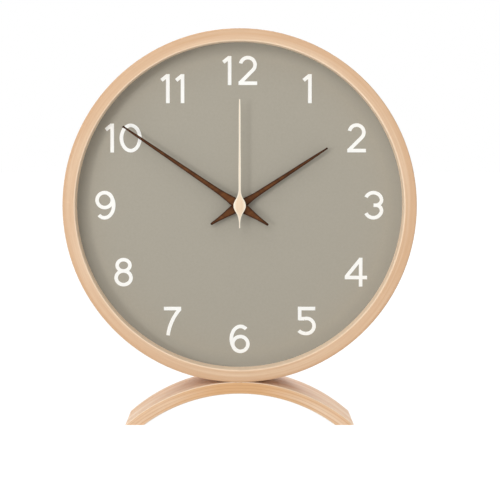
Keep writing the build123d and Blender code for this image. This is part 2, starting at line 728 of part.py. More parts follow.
# Front plate of the movement: boss through the dial board, ears, and posts for the train plate
with BuildPart() as movement_front_plate:
    slab(movement_front, plate_back, movement_width, movement_height, case_middle, case_corner)
    for place in ear_places:
        slab(movement_front, plate_back, ear_length + case_wall, ear_width, place)
    disc(card_back, movement_front, boss_radius)
    for place in pillars:
        disc(plate_back, train_plate_front, pillar_radius, place)
        disc(train_plate_front, train_plate_back, pillar_pin_radius, place)
    for side in (-1, 1):
        post = (circuit_middle[0], circuit_middle[1] + side * inner_half * circuit_post_share)
        disc(plate_back, circuit_front, circuit_post_radius, post)
    bore(card_back, plate_back, boss_bore)
    for place in (minute_wheel_place, setting_place):
        pocket(plate_back - pivot_length - pivot_clearance, plate_back, pivot_radius + pivot_clearance, place)
    for place in ear_places:
        bore(movement_front, plate_back, ear_screw_radius + screw_clearance, place)
    for place in case_posts:
        pocket(case_back - case_screw_length - screw_clearance, plate_back,
               case_screw_radius + screw_clearance, place)
save(movement_front_plate.part, "movement_front_plate")

# Case of the movement: open at the front over the train, and at the back over the battery
with BuildPart() as movement_case:
    slab(plate_back, case_back, movement_width, movement_height, case_middle, case_corner)
    middle, height = between(chamber_floor, chamber_top)
    slab(plate_back - overrun, case_back_inner, 2 * inner_half, height, (0, middle), mode=Mode.SUBTRACT)
    middle, height = between(bay_floor, bay_top)
    slab(plate_back - overrun, case_back + overrun, 2 * inner_half, height, (0, middle), mode=Mode.SUBTRACT)
    for place in case_posts:
        disc(plate_back, case_back_inner, case_post_radius, place)
    for place in case_posts:
        bore(plate_back, case_back, case_screw_radius + screw_clearance, place)
    bore(case_back_inner, case_back, setting_shaft_radius + pivot_clearance, setting_place)
    middle, height = between(bay_top - overrun, chamber_floor + overrun)
    arm_front, arm_back = plate_back - overrun, circuit_front + screw_clearance
    slab(arm_front, arm_back, contact_arm_width / 2 + 2 * screw_clearance, height, (notch_x, middle),
         mode=Mode.SUBTRACT)
    slab(arm_front, arm_back, contact_thickness + 2 * screw_clearance, height,
         (-inner_half + contact_thickness / 2, middle), mode=Mode.SUBTRACT)
save(movement_case.part, "movement_case")


def pan_screw(head_back, head_radius, head_height, radius, length, place):
    """Screw driven forwards, its head behind what it holds"""
    disc(head_back, head_back + head_height, head_radius, place)
    disc(head_back - length, head_back, radius, place)
    slab(head_back + head_height / 2, head_back + head_height + overrun, 2 * head_radius, head_height / 2,
         place, mode=Mode.SUBTRACT)


with BuildPart() as case_screws:
    for place in case_posts:
        pan_screw(case_back, case_screw_head_radius, case_screw_head_height, case_screw_radius,
                  case_screw_length, place)
save(case_screws.part, "case_screws")

with BuildPart() as movement_screws:
    for place in ear_places:
        pan_screw(plate_back, ear_screw_head_radius, ear_screw_head_height, ear_screw_radius,
                  ear_screw_length, place)
save(movement_screws.part, "movement_screws")

# Plate that separates the motion work from the train
with BuildPart() as train_plate:
    slab(train_plate_front, train_plate_back, plate_width, plate_height, plate_middle, corner=pillar_radius)
    for place in pillars:
        bore(train_plate_front, train_plate_back, pillar_pin_radius, place)
    for place in stator_pillars:
        with BuildSketch(facing(stator_front, place)) as column:
            Circle(pillar_radius)
        extrude(column.sketch, amount=stator_front - train_plate_back)
        disc(stator_front, bridge_back, pillar_pin_radius, place)
        disc(train_plate_front, train_plate_back, pillar_pin_radius, place, Mode.SUBTRACT)
    for place in plain_pillars:
        disc(train_plate_back, bridge_front, pillar_radius, place)
        disc(bridge_front, bridge_back, pillar_pin_radius, place)
    bore(train_plate_front, train_plate_back, minute_tube_radius + tube_clearance)
    bore(train_plate_front, train_plate_back, setting_shaft_radius + pivot_clearance, setting_place)
    for place in (third_place, intermediate_place, rotor_place, minute_wheel_place):
        bore(train_plate_front, train_plate_back, pivot_radius + pivot_clearance, place)
save(train_plate.part, "train_plate")

# Bridge that carries the back pivots of the train
with BuildPart() as train_bridge:
    slab(bridge_front, bridge_back, plate_width, plate_height, plate_middle, corner=pillar_radius)
    for place in pillars:
        bore(bridge_front, bridge_back, pillar_pin_radius, place)
    bore(bridge_front, bridge_back, setting_shaft_radius + pivot_clearance, setting_place)
    for place in (hub, third_place, intermediate_place, rotor_place):
        bore(bridge_front, bridge_back, pivot_radius + pivot_clearance, place)
save(train_bridge.part, "train_bridge")

# Motor: stator plate round the rotor, and a core through the coil that joins its two legs
leg_top = coil_place[1] + coil_core_height / 2
strip_bottom = rotor_place[1] - stator_strip_height / 2
core_left = coil_place[0] - core_length / 2
core_right = coil_place[0] + core_length / 2
with BuildPart() as stator:
    slab(stator_front, stator_back, core_length, stator_strip_height, (coil_place[0], rotor_place[1]))
    middle, height = between(strip_bottom, leg_top)
    for x in (core_left + stator_leg_width / 2, core_right - stator_leg_width / 2):
        slab(stator_front, stator_back, stator_leg_width, height, (x, middle))
    bore(stator_front, stator_back, rotor_radius + rotor_air_gap, rotor_place)
    for place in stator_pillars:
        bore(stator_front, stator_back, pillar_pin_radius, place)
save(stator.part, "stator")

core_front = stator_front - stator_thickness
with BuildPart() as coil_core:
    slab(core_front, stator_front, core_length, coil_core_height, coil_place)
save(coil_core.part, "coil_core")

# The bobbin and its winding lie along X, round the core
bobbin_plane = Plane(origin=(coil_place[0], front_y + core_middle, hub_z + coil_place[1]),
                     x_dir=(0, 1, 0), z_dir=(1, 0, 0))
tube_depth = stator_thickness + 2 * bobbin_wall
tube_height = coil_core_height + 2 * bobbin_wall
with BuildPart() as coil_bobbin:
    with BuildSketch(bobbin_plane):
        Rectangle(tube_depth, tube_height)
    extrude(amount=bobbin_length / 2, both=True)
    with BuildSketch(bobbin_plane.offset(bobbin_length / 2 - bobbin_flange_thickness),
                     bobbin_plane.offset(-bobbin_length / 2)):
        Circle(bobbin_flange_radius)
    extrude(amount=bobbin_flange_thickness)
    with BuildSketch(bobbin_plane):
        Rectangle(stator_thickness, coil_core_height)
    extrude(amount=bobbin_length, both=True, mode=Mode.SUBTRACT)
save(coil_bobbin.part, "coil_bobbin")

with BuildPart() as coil_winding:
    with BuildSketch(bobbin_plane):
        Circle(winding_radius)
        Rectangle(tube_depth, tube_height, mode=Mode.SUBTRACT)
    extrude(amount=bobbin_length / 2 - bobbin_flange_thickness, both=True)
save(coil_winding.part, "coil_winding")

# Circuit board with its chip and crystal on the back
with BuildPart() as circuit_board:
    slab(circuit_front, circuit_back, circuit_width, circuit_height, circuit_middle)
save(circuit_board.part, "circuit_board")

with BuildPart() as control_chip:
    disc(circuit_back, circuit_back + chip_height, chip_radius, circuit_middle)
    fillet(control_chip.faces().sort_by(Axis.Y)[-1].edges(), chip_height / 2)
save(control_chip.part, "control_chip")

with BuildPart() as quartz_crystal:
    crystal_z = circuit_middle[1] + inner_half * crystal_rise_share
    crystal_y = front_y + circuit_back + crystal_radius
    with BuildSketch(Plane(origin=(circuit_middle[0], crystal_y, hub_z + crystal_z))):
        Circle(crystal_radius)
    extrude(amount=crystal_length)
    fillet(quartz_crystal.edges(), crystal_edge_round)
save(quartz_crystal.part, "quartz_crystal")

# Battery cell, lying in its bay with its nub to the left
cell_left = -inner_half + contact_thickness + contact_gap
cell_plane = Plane(origin=(cell_left, front_y + cell_depth, hub_z + cell_z), x_dir=(0, 1, 0), z_dir=(1, 0, 0))
with BuildPart() as battery_cell:
    with BuildSketch(cell_plane.offset(cell_nub_length)):
        Circle(cell_diameter / 2)
    extrude(amount=cell_body_length)
    fillet(battery_cell.edges().filter_by(GeomType.CIRCLE), cell_edge_round)
    with BuildSketch(cell_plane):
        Circle(cell_nub_radius)
    extrude(amount=cell_nub_length)
save(battery_cell.part, "battery_cell")

# Battery contacts: each has an arm that reaches the circuit board through a notch in the partition
arm_near = plate_back + cell_clearance
arm_far = circuit_front
tab_top = circuit_bottom + contact_arm_width
with BuildPart() as battery_contact_positive:
    x = -inner_half + contact_thickness / 2
    slab(arm_near, case_back - cell_clearance, contact_thickness, contact_plate_height, (x, cell_z))
    middle, height = between(cell_z, tab_top)
    slab(arm_near, arm_far, contact_thickness, height, (x, middle))
save(battery_contact_positive.part, "battery_contact_positive")

with BuildPart() as battery_contact_negative:
    x = inner_half - contact_thickness / 2
    slab(arm_near, case_back - cell_clearance, contact_thickness, contact_plate_height, (x, cell_z))
    middle, height = between(cell_z, bay_top)
    slab(arm_near, arm_far, contact_thickness, height, (x, middle))
    middle, length = between(notch_x - contact_arm_width / 2, inner_half)
    slab(arm_near, arm_far, length, contact_thickness, (middle, bay_top - contact_thickness / 2))
    middle, height = between(bay_top - contact_thickness, tab_top)
    slab(arm_near, arm_far, contact_arm_width / 2, height, (notch_x, middle))
    with BuildSketch(Plane(origin=(0, front_y + cell_depth + contact_arm_width / 2, hub_z + cell_z),
                           x_dir=(1, 0, 0), z_dir=(0, -1, 0))) as leaf:
        spring_reach = cell_left + cell_length + contact_gap
        low, high = -contact_plate_height / 2, contact_plate_height / 2
        with BuildLine():
            Polyline((inner_half, low), (inner_half, high), (inner_half - contact_thickness, high),
                     (spring_reach, contact_thickness), (spring_reach, -contact_thickness),
                     (inner_half - contact_thickness, low), close=True)
        make_face()
        with BuildLine():
            Polyline((inner_half - contact_thickness, low + contact_leaf_rim),
                     (inner_half - contact_thickness, high - contact_leaf_rim),
                     (spring_reach + contact_thickness, 0), close=True)
        make_face(mode=Mode.SUBTRACT)
    extrude(leaf.sketch, amount=contact_arm_width)
save(battery_contact_negative.part, "battery_contact_negative")
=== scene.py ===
"""Looks of the wooden desk clock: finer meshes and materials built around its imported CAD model.

Metres. +Z up, the dial faces -Y, and the origin is on the table under the middle of the clock.
"""
import json
from math import cos, pi, radians, sin

import bmesh
import bpy
from bpy.props import FloatProperty, FloatVectorProperty, IntProperty, PointerProperty
from mathutils import Color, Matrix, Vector


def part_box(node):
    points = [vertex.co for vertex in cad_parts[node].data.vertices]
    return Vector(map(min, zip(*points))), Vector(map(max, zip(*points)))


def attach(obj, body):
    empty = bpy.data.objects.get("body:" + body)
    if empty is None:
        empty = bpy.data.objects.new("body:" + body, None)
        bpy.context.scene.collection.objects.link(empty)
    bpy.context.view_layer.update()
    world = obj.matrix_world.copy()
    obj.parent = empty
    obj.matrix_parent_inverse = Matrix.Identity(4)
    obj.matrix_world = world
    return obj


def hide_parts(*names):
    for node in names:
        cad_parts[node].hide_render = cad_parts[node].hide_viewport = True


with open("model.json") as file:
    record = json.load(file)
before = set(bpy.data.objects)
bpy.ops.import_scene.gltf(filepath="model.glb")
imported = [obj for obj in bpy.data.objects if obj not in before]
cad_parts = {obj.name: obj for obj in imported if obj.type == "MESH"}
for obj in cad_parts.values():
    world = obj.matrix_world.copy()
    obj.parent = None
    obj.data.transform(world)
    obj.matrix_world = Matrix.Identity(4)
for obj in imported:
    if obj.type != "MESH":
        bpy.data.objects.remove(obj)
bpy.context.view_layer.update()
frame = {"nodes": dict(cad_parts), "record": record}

bl_info = {
    "name": "Wooden Desk Clock",
    "version": (1, 0, 0),
    "blender": (4, 5, 0),
    "location": "3D View > Sidebar > Clock",
    "description": "Dresses the packed model of a wooden desk clock in finer meshes and materials",
    "category": "Object",
}

MM = 0.001
# Wall of the hoop and thickness of the foot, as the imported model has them
HOOP_WALL = 7.2 * MM
FOOT_THICKNESS = 6.9 * MM
# Plies that show on the foot's edges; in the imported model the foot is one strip
FOOT_PLIES = 4
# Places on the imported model; the foot's upper arc runs through its top and its two ends on the table
ring_low, ring_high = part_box("ring_frame")
foot_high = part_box("base_arch")[1]
HUB = Vector((0, 0, (ring_low.z + ring_high.z) / 2))
HOOP_RADIUS = (ring_high.x - ring_low.x) / 2
HOOP_INNER = HOOP_RADIUS - HOOP_WALL
FRONT_Y = ring_low.y
FOOT_RADIUS = (foot_high.x**2 + foot_high.z**2) / (2 * foot_high.z)
FOOT_CENTRE = Vector((0, 0, foot_high.z - FOOT_RADIUS))
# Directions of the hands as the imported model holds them, clockwise from twelve
HAND_ANGLES = {"hour_hand": radians(56.8), "minute_hand": radians(304.2), "second_hand": 0.0}

# Figure of the woods: lengths of its patches along, across and through the grain
STREAK_PATCH = (110 * MM, 2.2 * MM, 6 * MM)
LINE_PATCH = (30 * MM, 0.8 * MM, 1.2 * MM)
PORE_PATCH = (2.4 * MM, 0.16 * MM, 0.16 * MM)
# Band of painted highlight at a round piece's inner edge: where it starts to fade, and where it is gone
INNER_BAND = (0.3 * MM, 1.0 * MM)
# Band of painted shade at its outer edge: where it starts to fade, and where it is gone on the hoop and
# on the dial
OUTER_BAND = 0.9 * MM
HOOP_FADE = 2.2 * MM
DIAL_FADE = 9 * MM
# How far the dial's band of painted shade starts under the hoop
DIAL_TUCK = 0.7 * MM
# Warmer middle of the foot's edges: how far out it starts to fade, and where it is gone
FOOT_WARMTH = (12 * MM, 46 * MM)
# Battery cell: middle of its band from its left end, and half the band's width
CELL_BAND = (11 * MM, 3.2 * MM)
# Battery cell: bare steel at its left and right ends
CELL_BARE = (1.75 * MM, 0.7 * MM)
# Thickness of the winding's wire, and size of the lines on drawn or turned metal
WIRE = 0.12 * MM
METAL_LINE = 0.4 * MM

# Distance within which points are one, and within which a point counts as on a line or face
MERGE = 0.001 * MM
TOUCH = 0.01 * MM
# Half width of a hand from which its middle keeps the wood's own colour
HAND_HALF = 2 * MM
# Angle between faces up to which they are one
FLAT = radians(0.2)
# Angles past which shading breaks, and past which edges are rounded
CREASE = radians(30)
SHARP = radians(40)

# Lamps: direction from the hub, distance and width
LAMPS = {
    "side": ((-0.72, -1.0, 0.0), 2.0, 0.4),
    "front": ((-0.36, -1.0, 0.5), 2.0, 1.0),
    "top": ((-0.3, -0.5, 1.0), 2.0, 0.7),
    "back": ((0.22, 1.0, 0.75), 1.8, 1.2),
}
# Floor: half its side, and the strength and share of the white that it shows
FLOOR_HALF = 6.0
FLOOR_WHITE = 1.12
FLOOR_SHARE = 0.88

bodies = frame["record"]["behaviour"]["bodies"]
body_of = {node: body for body, nodes in bodies.items() for node in nodes}
slot_of = {name: node.data.materials[0].name for name, node in frame["nodes"].items()}
# Slots that the movement's operator leaves to the others
OUTER_SLOTS = ("hoop_wood", "foot_wood", "dial_paint", "numeral_ink", "fibreboard")


def shade(name, description, red, green, blue):
    """Property for a colour as it is written on a screen"""
    return FloatVectorProperty(name=name, description=description, subtype="COLOR_GAMMA", size=3,
                               min=0, max=1, default=(red / 255, green / 255, blue / 255))


def length(name, description, value):
    """Property for a length in metres"""
    return FloatProperty(name=name, description=description, unit="LENGTH", default=value, min=0)


def power(name, description, value):
    """Property for the power of a lamp in watts"""
    return FloatProperty(name=name, description=description, unit="POWER", default=value, min=0)


def count(name, description, value, least):
    """Property for a whole number"""
    return IntProperty(name=name, description=description, default=value, min=least)


class ClockColours(bpy.types.PropertyGroup):
    """Colours of the clock's woods, paints, plastics and metals"""
    hoop: shade("Hoop", "Pale wood of the hoop", 235, 204, 172)
    hoop_streak: shade("Hoop streaks", "Warmer streaks in the hoop's wood", 217, 175, 136)
    # Painted highlight on the hoop's inner edge and inner wall
    hoop_rim_highlight: shade("Hoop rim", "Painted highlight at the hoop's inner edge", 255, 229, 200)
    foot: shade("Foot", "Pale wood of the foot", 250, 227, 202)
    foot_streak: shade("Foot streaks", "Warmer plies and streaks in the foot's wood", 226, 178, 128)
    foot_joint: shade("Foot joints", "Glue lines between the foot's plies", 201, 140, 92)
    # Painted highlight on the foot's rounded edges
    foot_edge_highlight: shade("Foot edges", "Painted highlight where the foot's edges are rounded", 255, 238, 214)
    walnut: shade("Walnut", "Wood of the hour and minute hands", 116, 71, 36)
    walnut_streak: shade("Walnut streaks", "Darker grain of the walnut", 70, 38, 17)
    walnut_edge: shade("Walnut edges", "Edges that the cutter left dark", 38, 18, 9)
    birch: shade("Birch", "Wood of the second hand", 246, 225, 197)
    birch_streak: shade("Birch streaks", "Warmer grain of the birch", 234, 204, 170)
    birch_edge: shade("Birch edges", "Pale edges of the second hand", 254, 246, 228)
    dial: shade("Dial", "Paint of the dial", 172, 166, 152)
    # Painted shade on the dial near the hoop, where the hoop's shadow falls
    dial_rim_shade: shade("Dial rim", "Painted shade on the dial close to the hoop", 159, 157, 147)
    numerals: shade("Numerals", "Ink of the numerals", 255, 255, 251)
    board: shade("Board", "Fibreboard behind the dial", 158, 122, 86)
    board_fibre: shade("Board fibres", "Darker fibres in the board", 112, 82, 54)
    plastic: shade("Plastic", "Black moulded plastic of the movement", 34, 34, 36)
    white_plastic: shade("White plastic", "Wheels and bobbin", 226, 224, 216)
    brass: shade("Brass", "Bushes and tubes", 214, 178, 108)
    steel: shade("Steel", "Screws, points and contacts", 190, 190, 192)
    iron: shade("Iron", "Stator and coil core", 96, 96, 100)
    copper: shade("Copper", "Winding", 186, 106, 64)
    magnet: shade("Magnet", "Rotor's magnet", 72, 70, 74)
    circuit: shade("Circuit board", "Lacquer of the circuit board", 36, 92, 58)
    resin: shade("Resin", "Blob over the chip", 22, 22, 24)
    wrap: shade("Cell wrap", "Plain wrap of the battery cell", 70, 104, 128)
    wrap_band: shade("Cell band", "Plain band on the wrap", 206, 212, 214)


class ClockSizes(bpy.types.PropertyGroup):
    """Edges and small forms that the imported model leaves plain"""
    hand_round: length("Hand edge", "Round of the hands' front edges", 0.16 * MM)
    needle_round: length("Second hand edge", "Round of the second hand's front edges", 0.1 * MM)
    moulded_round: length("Moulded edge", "Round of the plastic case's edges", 0.35 * MM)
    screw_round: length("Screw edge", "Round of the screw heads' edges", 0.2 * MM)
    metal_round: length("Metal edge", "Round of the points', contacts' and bushes' edges", 0.08 * MM)
    hand_cuts: count("Hand cuts", "Cuts across each hand's blade", 48, 4)
    round_steps: count("Edge steps", "Faces across a rounded edge", 3, 1)


class ClockStage(bpy.types.PropertyGroup):
    """Camera and lamps"""
    distance: length("Distance", "From the camera to the hoop's front", 0.78)
    rise: length("Rise", "Height of the camera above the hub", 0.0378)
    lens: FloatProperty(name="Lens", description="Focal length in millimetres", default=98.15, min=1)
    pitch: FloatProperty(name="Pitch", description="How far the camera looks down", subtype="ANGLE",
                         default=radians(2.135))
    shift_x: FloatProperty(name="Shift right", description="Sideways shift of the view", default=0.0207)
    shift_y: FloatProperty(name="Shift up", description="Upward shift of the view", default=-0.1182)
    side_power: power("Side light", "Power of the small lamp at the left", 7.6)
    front_power: power("Front light", "Power of the broad lamp near the camera", 9.4)
    top_power: power("Top light", "Power of the soft lamp above the clock", 3.6)
    back_power: power("Back light", "Power of the soft lamp behind the clock", 13.0)
    soft_light: FloatProperty(name="Soft light", description="Strength of the light from all sides",
                              default=0.54, min=0)


def linear(colour):
    """Colour as the shaders take it"""
    return (*Color(colour).from_srgb_to_scene_linear(), 1.0)


def toned(colour, factor, lift=0.0):
    """Darker or lighter form of a colour"""
    return (*[min(1.0, factor * value + lift) for value in colour[:3]], 1.0)


# Nodes: adding, feeding and grouping them
def feed(tree, socket, value):
    """Links a socket to another, or sets its value"""
    if isinstance(value, bpy.types.NodeSocket):
        tree.links.new(value, socket)
    else:
        socket.default_value = value


def put(tree, kind, sockets=None, **settings):
    """Adds a shader node with its settings, and feeds its sockets"""
    made = tree.nodes.new("ShaderNode" + kind)
    for name, value in settings.items():
        setattr(made, name, value)
    for name, value in (sockets or {}).items():
        feed(tree, made.inputs[name], value)
    return made


def number(tree, operation, *values):
    """Result of a sum on numbers"""
    return put(tree, "Math", dict(enumerate(values)), operation=operation).outputs[0]


def times(tree, first, second):
    """Product of two numbers"""
    return number(tree, "MULTIPLY", first, second)


def vector(tree, operation, *values):
    """Result of a sum on vectors"""
    return put(tree, "VectorMath", dict(enumerate(values)), operation=operation).outputs[0]


def joined(tree, **parts):
    """Vector with these parts"""
    return put(tree, "CombineXYZ", parts).outputs[0]


def split(tree, value):
    """Parts of a vector"""
    return put(tree, "SeparateXYZ", {0: value}).outputs


def magnitude(tree, value):
    """Length of a vector"""
    return put(tree, "VectorMath", {0: value}, operation="LENGTH").outputs["Value"]


def place_on(tree):
    """Place of a point on its piece, in metres"""
    return put(tree, "TexCoord").outputs["Object"]


def from_axis(tree, centre):
    """Distance from the axis that lies along Y through a centre"""
    offset = vector(tree, "SUBTRACT", place_on(tree), centre)
    return magnitude(tree, vector(tree, "MULTIPLY", offset, (1, 0, 1)))


def spread(tree, value, low, high, to_low=0.0, to_high=1.0):
    """Value brought from one range to another, and held there"""
    sockets = {"Value": value, "From Min": low, "From Max": high, "To Min": to_low, "To Max": to_high}
    return put(tree, "MapRange", sockets).outputs[0]


def blended(tree, share, first, second):
    """Colour between two"""
    return put(tree, "Mix", {0: share, 6: first, 7: second}, data_type="RGBA").outputs[2]


def tinted(tree, colour, other, mask, share):
    """Colour moved towards another by a share of a mask"""
    return blended(tree, times(tree, mask, share), colour, other)


def noise(tree, place, scale, detail, rough=0.5):
    """Soft noise from 0 to 1 at a place"""
    sockets = {"Vector": place, "Scale": scale, "Detail": detail, "Roughness": rough}
    return put(tree, "TexNoise", sockets).outputs[0]


def stretched(tree, place, across, patch, detail):
    """Noise whose patches have these lengths along, across and through the grain"""
    long, wide, deep = patch
    sockets = {
        "Vector": vector(tree, "MULTIPLY", place, (1 / long, 1 / long, 1 / deep)),
        "W": number(tree, "DIVIDE", across, wide),
        "Scale": 1.0,
        "Detail": detail,
        "Roughness": 0.5,
    }
    return put(tree, "TexNoise", sockets, noise_dimensions="4D").outputs[0]


def new_group(name, inputs, outputs):
    """Empty node group with its sockets, and its two end nodes"""
    tree = bpy.data.node_groups.new(name, "ShaderNodeTree")
    for label, kind, value in inputs:
        socket = tree.interface.new_socket(name=label, in_out="INPUT", socket_type="NodeSocket" + kind)
        socket.default_value = value
    for label in outputs:
        tree.interface.new_socket(name=label, in_out="OUTPUT", socket_type="NodeSocketFloat")
    return tree, tree.nodes.new("NodeGroupInput").outputs, tree.nodes.new("NodeGroupOutput").inputs


def grain_masks(tree, place, across, result):
    """Streaks, fine lines and pores of wood; a place's X and Y run along the grain, its Z through it"""
    streaks = stretched(tree, place, across, STREAK_PATCH, 3.0)
    feed(tree, result["Streaks"], spread(tree, streaks, 0.36, 0.66))
    lines = stretched(tree, place, across, LINE_PATCH, 3.0)
    feed(tree, result["Lines"], spread(tree, lines, 0.35, 0.7))
    pores = stretched(tree, place, across, PORE_PATCH, 1.0)
    feed(tree, result["Pores"], spread(tree, pores, 0.64, 0.74))


def bent_grain():
    """Group: grain of a strip bent round an axis that lies along Y"""
    tree, given, result = new_group(
        "bent_grain",
        (("Centre", "Vector", (0, 0, 0)), ("Radius", "Float", 0.1), ("Seed", "Float", 0.0)),
        ("Streaks", "Lines", "Pores"),
    )
    offset = split(tree, vector(tree, "SUBTRACT", place_on(tree), given["Centre"]))
    flat = joined(tree, X=offset["X"], Y=offset["Z"])
    way = vector(tree, "NORMALIZE", flat)
    arc = put(tree, "VectorMath", {0: way, "Scale": given["Radius"]}, operation="SCALE").outputs[0]
    bent = vector(tree, "ADD", arc, joined(tree, Z=offset["Y"]))
    across = number(tree, "ADD", magnitude(tree, flat), given["Seed"])
    grain_masks(tree, bent, across, result)
    return tree


def straight_grain():
    """Group: grain of a flat piece, along X of the place that it is given"""
    tree, given, result = new_group("straight_grain", (("Vector", "Vector", (0, 0, 0)),),
                                    ("Streaks", "Lines", "Pores"))
    parts = split(tree, given["Vector"])
    grain_masks(tree, joined(tree, X=parts["X"], Z=parts["Z"]), parts["Y"], result)
    return tree


def ply_lines():
    """Group: plies of a bent strip as they show on its edge"""
    tree, given, result = new_group(
        "ply_lines",
        (("Centre", "Vector", (0, 0, 0)), ("Inner radius", "Float", 0.1), ("Ply", "Float", 0.001),
         ("Plies", "Float", 4.0)),
        ("Joint", "Tone"),
    )
    within = number(tree, "SUBTRACT", from_axis(tree, given["Centre"]), given["Inner radius"])
    depth = number(tree, "DIVIDE", within, given["Ply"])
    nearest = number(tree, "ROUND", depth)
    off = number(tree, "ABSOLUTE", number(tree, "SUBTRACT", depth, nearest))
    after_first = number(tree, "GREATER_THAN", nearest, 0.5)
    before_last = number(tree, "LESS_THAN", nearest, number(tree, "SUBTRACT", given["Plies"], 0.5))
    joint = spread(tree, off, 0.03, 0.14, 1.0, 0.0)
    feed(tree, result["Joint"], times(tree, joint, times(tree, after_first, before_last)))
    layer = put(tree, "TexWhiteNoise", {"W": number(tree, "FLOOR", depth)}, noise_dimensions="1D")
    feed(tree, result["Tone"], layer.outputs["Value"])
    return tree


def round_bands():
    """Group: bands at the inner and outer edge of a round piece whose axis lies along Y, which carry
    painted highlight and painted shade
    """
    tree, given, result = new_group(
        "round_bands",
        (("Centre", "Vector", (0, 0, 0)), ("Inner", "Float", 0.09), ("Outer", "Float", 0.1),
         ("Fade", "Float", 0.001)),
        ("Inner edge", "Outer edge"),
    )
    radius = from_axis(tree, given["Centre"])
    inner = number(tree, "SUBTRACT", radius, given["Inner"])
    outer = number(tree, "SUBTRACT", given["Outer"], radius)
    feed(tree, result["Inner edge"], spread(tree, inner, *INNER_BAND, 1.0, 0.0))
    feed(tree, result["Outer edge"], spread(tree, outer, OUTER_BAND, given["Fade"], 1.0, 0.0))
    return tree


def fine_speckle():
    """Group: fine even mottle, and sparser flecks, of a paint, board or moulded surface"""
    tree, given, result = new_group("fine_speckle", (("Size", "Float", 0.001), ("Fleck", "Float", 0.6)),
                                    ("Mottle", "Flecks"))
    place = place_on(tree)
    scale = number(tree, "DIVIDE", 1.0, given["Size"])
    mottle = noise(tree, place, scale, 4.0, 0.6)
    feed(tree, result["Mottle"], spread(tree, mottle, 0.3, 0.7))
    flecks = noise(tree, place, times(tree, scale, 2.3), 1.0)
    full = number(tree, "ADD", given["Fleck"], 0.12)
    feed(tree, result["Flecks"], spread(tree, flecks, given["Fleck"], full))
    return tree


def drawn_metal():
    """Group: faint lines that drawing or turning leaves on metal"""
    tree, given, result = new_group(
        "drawn_metal", (("Stretch", "Vector", (1, 1, 1)), ("Size", "Float", 0.001)), ("Lines",))
    scaled = vector(tree, "MULTIPLY", place_on(tree), given["Stretch"])
    lines = noise(tree, scaled, number(tree, "DIVIDE", 1.0, given["Size"]), 3.0)
    feed(tree, result["Lines"], spread(tree, lines, 0.3, 0.7))
    return tree


EFFECTS = {"bent_grain": bent_grain, "straight_grain": straight_grain, "ply_lines": ply_lines,
           "round_bands": round_bands, "fine_speckle": fine_speckle, "drawn_metal": drawn_metal}
# Node groups built so far
groups = {}


def effect(tree, name, **sockets):
    """Places a shared node group in a material, with its own values"""
    if name not in groups:
        groups[name] = EFFECTS[name]()
    made = tree.nodes.new("ShaderNodeGroup")
    made.node_tree = groups[name]
    for label, value in sockets.items():
        feed(tree, made.inputs[label.replace("_", " ").capitalize()], value)
    return made.outputs


def new_material(name, **constants):
    """Material with a Principled shader, whose constant values are set on its own sockets"""
    material = bpy.data.materials.new(name)
    material.use_nodes = True
    shader = material.node_tree.nodes["Principled BSDF"]
    for label, value in constants.items():
        shader.inputs[label.replace("_", " ").title().replace("Ior", "IOR")].default_value = value
    return material, material.node_tree, shader.inputs


def bumped(tree, shader, height, depth):
    """Feeds a bump of a given depth to a shader"""
    bump = put(tree, "Bump", {"Height": height, "Distance": depth, "Strength": 1.0})
    feed(tree, shader["Normal"], bump.outputs[0])


def roughened(tree, shader, mask, low, high):
    """Feeds a roughness to a shader, from low where a mask is 0 to high where it is 1"""
    feed(tree, shader["Roughness"], spread(tree, mask, 0.0, 1.0, low, high))


def wood(tree, shader, grain, pale, streak, pores=0.35):
    """Feeds gloss and bump of oiled wood to a shader, and gives its colour"""
    colour = tinted(tree, pale, streak, grain["Streaks"], 0.75)
    colour = tinted(tree, colour, streak, grain["Lines"], 0.5)
    colour = tinted(tree, colour, streak, grain["Pores"], pores)
    roughened(tree, shader, grain["Lines"], 0.4, 0.52)
    relief = number(tree, "SUBTRACT", times(tree, grain["Lines"], -0.4), grain["Pores"])
    bumped(tree, shader, relief, depth=0.03 * MM)
    return colour


def hoop_wood(colours):
    """Pale bent wood, its grain round the hoop, with painted highlight at its inner edge and painted
    shade, warmer and darker, at its outer edge
    """
    material, tree, shader = new_material("hoop_wood", specular_ior_level=0.3)
    grain = effect(tree, "bent_grain", centre=HUB, radius=HOOP_RADIUS, seed=2.6)
    streak = linear(colours.hoop_streak)
    colour = wood(tree, shader, grain, linear(colours.hoop), streak)
    rim = effect(tree, "round_bands", centre=HUB, inner=HOOP_INNER, outer=HOOP_RADIUS, fade=HOOP_FADE)
    # Painted shade: the hoop's outer edge made darker and warmer, as if shaded
    colour = tinted(tree, colour, streak, rim["Outer edge"], 0.6)
    # Painted highlight: the hoop's inner edge and wall made paler, as if lit
    colour = tinted(tree, colour, linear(colours.hoop_rim_highlight), rim["Inner edge"], 0.9)
    feed(tree, shader["Base Color"], colour)
    return material


